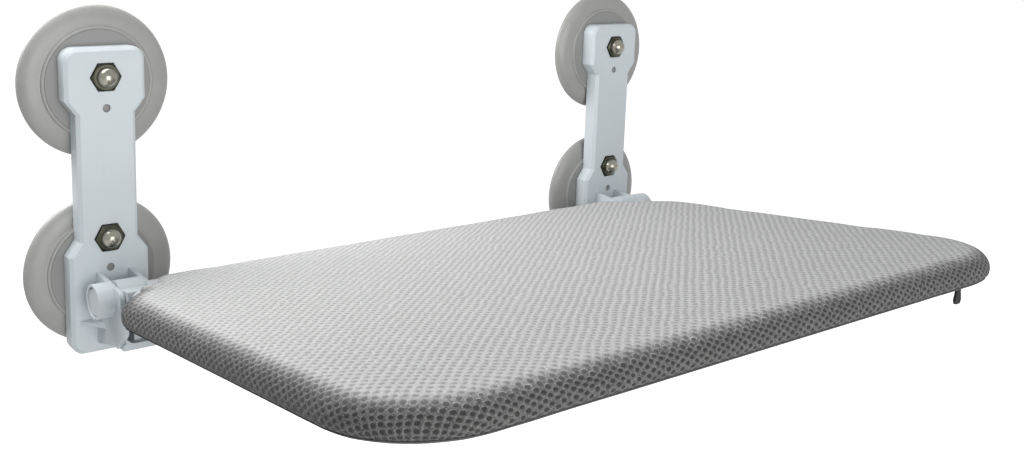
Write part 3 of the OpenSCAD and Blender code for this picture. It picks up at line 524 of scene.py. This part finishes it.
FILL_FRAMES, VOXEL = 20, 4.0 * MM
remesh = mat_blank.modifiers.new("even", "REMESH")
remesh.mode, remesh.voxel_size = "VOXEL", VOXEL
apply_modifiers(mat_blank)
before = [v.co.copy() for v in mat_blank.data.vertices]
cloth = mat_blank.modifiers.new("fill", "CLOTH")
cloth.settings.quality = 4
cloth.settings.use_pressure = True
cloth.settings.uniform_pressure_force = 4.0
cloth.settings.effector_weights.gravity = 0.0
cloth.settings.tension_stiffness = cloth.settings.compression_stiffness = 12.0
cloth.point_cache.frame_start, cloth.point_cache.frame_end = 1, FILL_FRAMES
for frame_number in range(1, FILL_FRAMES + 1):
    bpy.context.scene.frame_set(frame_number)
apply_modifiers(mat_blank)
bpy.context.scene.frame_set(1)
print("mat filled", len(mat_blank.data.vertices), "points")

# %% [markdown]
# Two measures help to shape the mat. One is the distance of a point from a rounded
# outline, negative inside it. The other rolls a point onto a round edge of the cover.
# Between the brackets the cover wraps the back tube. At each end it has a notch: from
# the inner ear outwards it stops 26 mm earlier, in front of the ear and the hub, and the
# notch runs out into the round back corner before it meets the outer ear.

# %% Measures for the mat's outline
NOTCH_FROM, NOTCH_FULL, NOTCH_DEPTH = 189.5 * MM, 199.2 * MM, 26 * MM
ROLL_FADE = 20 * MM
def smooth_step(a, b, v):
    t = min(1.0, max(0.0, (v - a) / (b - a)))
    return t * t * (3 - 2 * t)

def outline_distance(x, y, inset, corner):
    # Signed distance to the mat's outline drawn in by the inset
    dx = abs(x) - (MAT_LEN / 2 - inset - corner)
    dy = abs(y - MAT_MID) - (MAT_DEPTH / 2 - inset - corner)
    away = math.hypot(max(dx, 0), max(dy, 0)) + min(max(dx, dy), 0) - corner
    bx, by = abs(x) - BACK_X, y - BACK_Y
    if bx > 0 and by > 0:
        away = max(away, math.hypot(bx, by) - (BACK_CORNER - inset))
    return away

def back_limit(x):
    # How far back the cloth may reach where an ear stands in its way
    return MAT_BACK - smooth_step(NOTCH_FROM, NOTCH_FULL, abs(x)) * NOTCH_DEPTH

def rolled(across, up, core):
    # Nearest place on a rolled edge that starts at the core line
    bulge = max(0.0, abs(up) - EDGE_R) * (1 - smooth_step(0, ROLL_FADE, across - core))
    away = math.hypot(across - core, up)
    if across <= core or away <= EDGE_R + bulge:
        return across, up
    fit = (EDGE_R + bulge) / away
    return core + (across - core) * fit, up * fit

print("back edge at the ears", round(back_limit(NOTCH_FULL), 4), "m")

# %% [markdown]
# The raw result is put back within its limits. The tube frame keeps the real cover from
# growing sideways and the straps keep its base flat, so each point may move only so far:
# most on top, less round the edge, almost nothing below. Then the crown is raised in the
# middle, the base is pressed up where its panel lies, and the back edge is rolled to its
# outline at the ears.

# %% Settle the mat into its place
SIDE_MOVE, TOP_MORE, BASE_LESS = 1.2 * MM, 0.8 * MM, 0.7 * MM
FACE_FROM, FACE_FULL = -1 * MM, 5 * MM
CROWN, CROWN_FROM, CROWN_FULL = 2.6 * MM, 6 * MM, 100 * MM
BASE_DEPTH, BASE_CLEAR, PANEL_REST = 6 * MM, 0.1 * MM, 0.95 * MM
HEM_OUTSIDE, HEM_INSIDE = -0.6 * MM, 0.8 * MM
CORNER_FROM, CORNER_FULL = 212.5 * MM, 218 * MM
SMOOTH_ABOVE = -4 * MM
def settle(rest, moved):
    shift = moved - rest
    up = smooth_step(FACE_FROM, FACE_FULL, rest.z)
    down = smooth_step(FACE_FROM, FACE_FULL, -rest.z)
    cap = SIDE_MOVE + TOP_MORE * up - BASE_LESS * down
    if shift.length > cap:
        shift *= cap / shift.length
    p = rest + shift
    inside = -outline_distance(p.x, p.y, 0.0, MAT_CORNER)
    if up > 0:
        p.z += smooth_step(CROWN_FROM, CROWN_FULL, inside) * CROWN * up
    if p.z < -BASE_DEPTH:
        on_panel = -outline_distance(p.x, p.y, HEM_INSET, HEM_CORNER)
        pressed = smooth_step(HEM_OUTSIDE, HEM_INSIDE, on_panel)
        p.z = (1 - pressed) * max(p.z, LOW_Z + BASE_CLEAR) + pressed * (LOW_Z + PANEL_REST)
    bx, by = abs(p.x) - BACK_X, p.y - BACK_Y
    notched, corner = p.copy(), p.copy()
    notched.y, notched.z = rolled(p.y, p.z, back_limit(p.x) - EDGE_R)
    if bx > 0 and by > 0:
        d = math.hypot(bx, by)
        near, corner.z = rolled(d, p.z, BACK_CORNER - EDGE_R)
        corner.x = math.copysign(BACK_X + bx * near / d, p.x)
        corner.y = BACK_Y + by * near / d
    if abs(p.x) > NOTCH_FROM:
        p = notched.lerp(corner, smooth_step(CORNER_FROM, CORNER_FULL, abs(p.x)))
    return p

cover_bm = bmesh.new()
cover_bm.from_mesh(mat_blank.data)
cover_bm.verts.ensure_lookup_table()
for v, rest in zip(cover_bm.verts, before):
    v.co = settle(rest, v.co)
above_base = [v for v in cover_bm.verts if v.co.z > SMOOTH_ABOVE]
bmesh.ops.smooth_vert(cover_bm, verts=above_base, factor=0.4,
                      use_axis_x=True, use_axis_y=True, use_axis_z=True)
bpy.data.objects.remove(mat_blank)
print("mat settled, top at", round(max(v.co.z for v in cover_bm.verts), 4))

# %% [markdown]
# Every point now gets its place on the flat cloth. The nearest point of the mat's flat
# middle and the way round the edge from there give it: the cloth is simply unrolled
# outwards. A second number says how much the cloth is pulled at that point, and the
# cover's material paints its sides darker by it, as painted shade. It grows round the
# edge, and is 0 along the notches at the ears, where the cloth lies slack.

# %% Unroll the cloth
# The pull, and the painted shade of the sides with it, begins this far in from the edge, on the flat top.
PULL_AND_SHADE_START = 7 * MM
NOTCH_END = 215 * MM
SLACK_FROM, SLACK_TO = 0.95, 1.35
def unrolled(co):
    line = back_limit(co.x) - EDGE_R
    if NOTCH_FROM < abs(co.x) < NOTCH_END and co.y > line:
        turn = math.atan2(co.y - line, co.z)
        return (co.x / MM, (line - MAT_MID + EDGE_R * turn) / MM, 0.0), 0.0
    half_x, half_y = MAT_LEN / 2 - MAT_CORNER, MAT_DEPTH / 2 - MAT_CORNER
    x = min(half_x, max(-half_x, co.x))
    y = min(half_y, max(-half_y, co.y - MAT_MID))
    core, tight = MAT_CORNER - EDGE_R, 1.0
    if abs(co.x) > BACK_X and co.y > BACK_Y:
        x, y = math.copysign(BACK_X, co.x), BACK_Y - MAT_MID
        core = BACK_CORNER - EDGE_R
        round_corner = math.atan2(co.y - BACK_Y, abs(co.x) - BACK_X)
        tight = 1.0 - smooth_step(SLACK_FROM, SLACK_TO, round_corner)
    out = Vector((co.x - x, co.y - MAT_MID - y))
    reach = out.length
    if reach >= core:
        along = core + EDGE_R * math.atan2(reach - core, co.z)
    elif co.z > 0:
        along = reach
    else:
        along = 2 * core + math.pi * EDGE_R - reach
    way = out.normalized() if reach > SAME_POINT else Vector((0, 0))
    flat = Vector((x, y)) + way * along
    drawn = (along - core + PULL_AND_SHADE_START) / (PULL_AND_SHADE_START + EDGE_R)
    return (flat.x / MM, flat.y / MM, 0.0), tight * min(1.0, max(0.0, drawn))

def give_cloth(mesh, flat=False):
    mesh.attributes.new("cloth", "FLOAT_VECTOR", "POINT")
    mesh.attributes.new("pull", "FLOAT", "POINT")
    place, pull = mesh.attributes["cloth"], mesh.attributes["pull"]
    for i, v in enumerate(mesh.vertices):
        if flat:
            place.data[i].vector = (v.co.x / MM, v.co.y / MM, 0.0)
        else:
            place.data[i].vector, pull.data[i].value = unrolled(v.co)

mat = finish_piece(cover_bm, "mat_cover_pad", "perch", MESH_CLOTH,
                   ["mesh_cover", "foam_pad", "edge_roll"], angle=180)
finer = mat.modifiers.new("finer", "SUBSURF")
finer.levels = finer.render_levels = 1
apply_modifiers(mat)
give_cloth(mat.data)
cover_level = mat.data.copy()
mat.data.transform(PERCH)
print("mat", len(mat.data.polygons), "faces")

# %% [markdown]
# Below the fold the mesh is bound with plain grey tape, which shows from the front as a
# narrow dark line. The tape takes the cover's own surface there, cut level by one plane
# and raised a quarter of a millimetre, so it follows every curve of the edge.

# %% Edge binding
BINDING_TOP, BINDING_PROUD, BINDING_T, UNDER_HEM = 3.2 * MM, 0.25 * MM, 0.3 * MM, 0.5 * MM
ON_PLANE = 1e-7
def everything(bm):
    return bm.verts[:] + bm.edges[:] + bm.faces[:]

def give_thickness(obj, thickness, offset=0.0):
    thick = obj.modifiers.new("thickness", "SOLIDIFY")
    thick.thickness, thick.offset = thickness, offset
    apply_modifiers(obj)

binding = bmesh.new()
binding.from_mesh(cover_level)
bmesh.ops.bisect_plane(binding, geom=everything(binding), dist=ON_PLANE, clear_outer=True,
                       plane_co=(0, 0, LOW_Z + BINDING_TOP), plane_no=(0, 0, 1))
inner = [f for f in binding.faces
         if outline_distance(*f.calc_center_median().xy, HEM_INSET, HEM_CORNER) < -UNDER_HEM]
bmesh.ops.delete(binding, geom=inner, context="FACES")
binding.normal_update()
for v in binding.verts:
    v.co += v.normal * BINDING_PROUD
edge_binding = finish_piece(binding, "edge_binding", "perch", BINDING, angle=180)
give_thickness(edge_binding, BINDING_T, 1.0)
edge_binding.data.transform(PERCH)
print("binding area", round(sum(p.area for p in edge_binding.data.polygons) / 2, 5))

# %% [markdown]
# The base is a thin woven panel sewn into the cover, with a slot for the zip near its
# right end. The top face of a rounded slab is cut by planes at the slot's four sides, and
# on an even grid, so that it can sag a hair between the straps. Then it gets its thickness.

# %% Base panel
PANEL_TOP, PANEL_T, PANEL_SAG, SLAB_T = 0.45 * MM, 0.8 * MM, 0.5 * MM, 0.5 * MM
GRID_X, GRID_Y, SAG_WAVE, SAG_FROM, SAG_FULL = 40, 26, 118 * MM, 4 * MM, 50 * MM
SLOT_LESS = 0.3 * MM
SLOT_X = (ZIP_X - SLOT_W / 2, ZIP_X + SLOT_W / 2 - SLOT_LESS)
SLOT_Y = (ZIP_FRONT, ZIP_FRONT + ZIP_LEN)
def cut_at(bm, axis, value):
    normal = Vector((1, 0, 0)) if axis == "x" else Vector((0, 1, 0))
    bmesh.ops.bisect_plane(bm, geom=everything(bm), dist=ON_PLANE, plane_co=normal * value, plane_no=normal)

def in_slot(face):
    middle = face.calc_center_median()
    return SLOT_X[0] < middle.x < SLOT_X[1] and SLOT_Y[0] < middle.y < SLOT_Y[1]

panel = rounded_slab(MAT_LEN / 2 - HEM_INSET, (MAT_FRONT + HEM_INSET, MAT_BACK - HEM_INSET),
                     (LOW_Z + PANEL_TOP - SLAB_T, LOW_Z + PANEL_TOP), HEM_CORNER, corner_segments=8)
bmesh.ops.delete(panel, geom=[f for f in panel.faces if f.normal.z < 0.5], context="FACES")
for axis, places in (("x", SLOT_X), ("y", SLOT_Y)):
    for value in places:
        cut_at(panel, axis, value)
bmesh.ops.delete(panel, geom=[f for f in panel.faces if in_slot(f)], context="FACES")
for i in range(1, GRID_X):
    cut_at(panel, "x", -MAT_LEN / 2 + i * MAT_LEN / GRID_X)
for i in range(1, GRID_Y):
    cut_at(panel, "y", MAT_BACK - i * MAT_DEPTH / GRID_Y)
for v in panel.verts:
    inside = -outline_distance(v.co.x, v.co.y, HEM_INSET, HEM_CORNER)
    between_straps = 0.75 + 0.25 * math.cos(v.co.x / SAG_WAVE * math.pi)
    v.co.z -= PANEL_SAG * smooth_step(SAG_FROM, SAG_FULL, inside) * between_straps
face_outwards(panel)
base_panel = finish_piece(panel, "base_cloth_panel", "perch", BASE_CLOTH, ["base_panel"])
give_thickness(base_panel, PANEL_T)
give_cloth(base_panel.data, flat=True)
base_panel.data.transform(PERCH)

# %% [markdown]
# Two narrow tapes carry the teeth of the zip. Each is one long woven strip, a fine grid
# whose points are drawn in where the cover's front corner leaves no room for them.

# %% Zip tapes
TAPE_INNER, TAPE_OUTER, TAPE_T = 3.1 * MM, 9.0 * MM, 0.6 * MM
TAPE_MORE, TAPE_BELOW, TAPE_CLEAR, DRAW_IN = 4.4 * MM, 0.42 * MM, 0.3 * MM, 0.5 * MM
def too_far_out(place):
    gap = -outline_distance(place.x, place.y, EDGE_R, MAT_CORNER - EDGE_R)
    return place.x > ZIP_X and gap < TAPE_CLEAR

def zip_tape(name, side, replaces=()):
    bm = bmesh.new()
    bmesh.ops.create_grid(bm, x_segments=3, y_segments=60, size=0.5)
    wide = TAPE_OUTER - TAPE_INNER
    middle = (ZIP_X + side * (TAPE_INNER + wide / 2), ZIP_FRONT + ZIP_LEN / 2, LOW_Z - TAPE_BELOW)
    bmesh.ops.scale(bm, vec=(wide, ZIP_LEN + TAPE_MORE, 1), verts=bm.verts[:])
    bmesh.ops.translate(bm, vec=middle, verts=bm.verts[:])
    for v in bm.verts:
        while too_far_out(v.co):
            v.co.x -= DRAW_IN
    obj = finish_piece(bm, name, "perch", TAPE_CLOTH, replaces)
    give_thickness(obj, TAPE_T)
    give_cloth(obj.data, flat=True)
    obj.data.transform(PERCH)

zip_tape("inner_zip_tape", -1, ["zip_tapes"])
zip_tape("outer_zip_tape", 1)

# %% [markdown]
# Under the pad, three webbing straps run from the back tube to the front tube. Each one
# wraps three quarters of both tubes and runs between them below. One edge of the band is
# drawn as a path of short lines, extruded to the strap's width and given its thickness.

# %% Support straps
TUBE_R, TUBE_INSET = 7.5 * MM, 16.25 * MM
STRAP_T, STRAP_W, STRAP_THIN = 0.8 * MM, 38 * MM, 0.9
FRONT_TUBE_Y = MAT_FRONT + TUBE_INSET
STRAP_TURN, STRAP_STEPS = 15, 24
def strap_path():
    r = TUBE_R + STRAP_T / 2
    round_back = [math.radians(d) for d in range(-90, 181, STRAP_TURN)]
    round_front = [math.radians(d) for d in range(0, 271, STRAP_TURN)]
    below = [(FRONT_TUBE_Y * i / STRAP_STEPS, -r) for i in range(1, STRAP_STEPS)]
    return ([(r * math.sin(a), r * math.cos(a)) for a in round_back] + below
            + [(FRONT_TUBE_Y - r * math.sin(a), -r * math.cos(a)) for a in round_front])

def webbing_strap(i, replaces=()):
    bm = bmesh.new()
    row = [bm.verts.new((0, y, z)) for y, z in strap_path()]
    line = [bm.edges.new(pair) for pair in zip(row, row[1:])]
    out = bmesh.ops.extrude_edge_only(bm, edges=line)
    moved = [g for g in out["geom"] if isinstance(g, bmesh.types.BMVert)]
    bmesh.ops.translate(bm, vec=(STRAP_W, 0, 0), verts=moved)
    bmesh.ops.translate(bm, vec=((i - 1) * MAT_LEN / 4 - STRAP_W / 2, 0, 0), verts=bm.verts[:])
    face_outwards(bm)
    obj = finish_piece(bm, f"webbing_strap_{i + 1}", "perch", STRAP_CLOTH, replaces)
    give_thickness(obj, STRAP_T * STRAP_THIN)
    give_cloth(obj.data, flat=True)
    obj.data.transform(PERCH)

for i in range(3):
    webbing_strap(i, ["support_straps"] if i == 0 else [])

# %% [markdown]
# The panel is held by a row of lockstitches just inside its edge. One stitch is a short
# bar, and copies of it follow the panel's outline: the points run round each corner and
# then along the straight side after it, and each one knows which way the row goes there.

# %% Outline for the stitches
def outline_points(inset, corner, pitch):
    half_x, half_y = MAT_LEN / 2 - inset - corner, MAT_DEPTH / 2 - inset - corner
    points = []
    for k, (sx, sy) in enumerate(((1, -1), (1, 1), (-1, 1), (-1, -1))):
        x, y = sx * half_x, MAT_MID + sy * half_y
        start, count = math.radians(-90 + 90 * k), int(corner * math.pi / 2 / pitch)
        for j in range(count):
            turn = start + math.pi / 2 * j / count
            points.append((x + corner * math.cos(turn), y + corner * math.sin(turn), turn + math.pi / 2))
        length, heading = 2 * (half_y if k in (0, 2) else half_x), start + math.pi
        x += corner * math.cos(start + math.pi / 2)
        y += corner * math.sin(start + math.pi / 2)
        count = int(length / pitch)
        for j in range(count):
            along = length * j / count
            points.append((x + math.cos(heading) * along, y + math.sin(heading) * along, heading))
    return points

# %% Stitches round the base
STITCH_IN, STITCH_PITCH, STITCH_SIZE = 2.6 * MM, 3.6 * MM, (2.5 * MM, 0.5 * MM, 0.45 * MM)
STITCH_BELOW, SLOT_SIDE, SLOT_END = 0.02 * MM, 1 * MM, 2 * MM
stitches = bmesh.new()
for x, y, heading in outline_points(HEM_INSET + STITCH_IN, HEM_CORNER - STITCH_IN, STITCH_PITCH):
    beside_slot = abs(x - ZIP_X) < SLOT_W / 2 + SLOT_SIDE
    if beside_slot and SLOT_Y[0] - SLOT_END < y < SLOT_Y[1] + SLOT_END:
        continue
    one = bmesh.ops.create_cube(stitches, size=1.0)["verts"]
    bmesh.ops.scale(stitches, vec=STITCH_SIZE, verts=one)
    bmesh.ops.rotate(stitches, cent=(0, 0, 0), matrix=Matrix.Rotation(heading, 3, "Z"), verts=one)
    bmesh.ops.translate(stitches, vec=(x, y, LOW_Z - STITCH_BELOW), verts=one)
stitch_row = finish_piece(stitches, "hem_stitches", "perch", THREAD)
give_cloth(stitch_row.data, flat=True)
stitch_row.data.transform(PERCH)

# %% [markdown]
# The stage is a pale floor well below the perch. It looks white to the camera and in
# reflections, because it glows for those rays, and it is plain grey to all others, so it
# throws little light back up. From below it is clear, so the underside can be seen too.
# The world is white to the same rays, and a cool, even sky to the rest.

# %% Floor
CAMERA_RAY, GLOSSY_RAY, TRANSMISSION_RAY, BACK_SIDE = 0, 3, 6, 6
FLOOR_Z, FLOOR_HALF = -0.36, 4.0
GREY, PALE, BLACK = (0.30, 0.30, 0.30), (0.80, 0.80, 0.80), (0.0, 0.0, 0.0)
def pale_floor():
    p = Paint("pale_floor")
    rays = p.node("ShaderNodeLightPath")
    seen = rays[CAMERA_RAY].max(rays[GLOSSY_RAY]).max(rays[TRANSMISSION_RAY])
    clear = p.node("ShaderNodeNewGeometry")[BACK_SIDE]
    return p.set(Base_Color=p.mix(seen, GREY, PALE), Roughness=0.9, Alpha=1.0 - clear,
                 Emission_Color=p.mix(seen, BLACK, PALE), Emission_Strength=1.0)

floor_bm = bmesh.new()
bmesh.ops.create_grid(floor_bm, x_segments=1, y_segments=1, size=FLOOR_HALF)
bmesh.ops.translate(floor_bm, vec=(0, 0, FLOOR_Z), verts=floor_bm.verts[:])
floor_mesh = bpy.data.meshes.new("floor")
floor_bm.to_mesh(floor_mesh)
floor_bm.free()
floor_mesh.materials.append(pale_floor())
floor = bpy.data.objects.new("floor", floor_mesh)
bpy.context.scene.collection.objects.link(floor)
print("floor at", FLOOR_Z, "m")

# %% World
world = bpy.data.worlds.new("studio")
bpy.context.scene.world = world
world.use_nodes = True
tree = world.node_tree
for node in list(tree.nodes):
    tree.nodes.remove(node)

def background(colour, strength):
    node = tree.nodes.new("ShaderNodeBackground")
    node.inputs["Color"].default_value, node.inputs["Strength"].default_value = (*colour, 1), strength
    return node.outputs[0]

rays = tree.nodes.new("ShaderNodeLightPath").outputs
seen_by = rays["Is Camera Ray"]
for other in ("Is Glossy Ray", "Is Transmission Ray"):
    either = tree.nodes.new("ShaderNodeMath")
    either.operation = "MAXIMUM"
    tree.links.new(seen_by, either.inputs[0])
    tree.links.new(rays[other], either.inputs[1])
    seen_by = either.outputs[0]
swap = tree.nodes.new("ShaderNodeMixShader")
surface = tree.nodes.new("ShaderNodeOutputWorld").inputs["Surface"]
tree.links.new(seen_by, swap.inputs[0])
tree.links.new(background((0.95, 0.97, 1.0), 0.36), swap.inputs[1])
tree.links.new(background((1, 1, 1), 1.0), swap.inputs[2])
tree.links.new(swap.outputs[0], surface)
print("world", world.name)

# %% [markdown]
# Two soft lamps light the perch as in the photograph. A small one above and behind the
# left bracket stands for the window and brightens what faces up. A large one in front, a
# little above the mat, fills the faces that look to the room, so none of them goes dark.

# %% Lamps
def area_light(name, at, target, size, watts):
    data = bpy.data.lights.new(name, "AREA")
    data.size, data.energy = size, watts
    lamp = bpy.data.objects.new(name, data)
    bpy.context.scene.collection.objects.link(lamp)
    aim = Vector(target) - Vector(at)
    lamp.matrix_world = Matrix.Translation(at) @ aim.to_track_quat("-Z", "Y").to_matrix().to_4x4()

area_light("window_side", at=(-0.30, 0.16, 0.31), target=(-0.15, -0.12, -0.07), size=0.4, watts=3.4)
area_light("soft_front", at=(-0.28, -1.5, 0.12), target=(0, -0.1, 0), size=1.0, watts=15.0)
bpy.context.scene.view_settings.view_transform = "Standard"
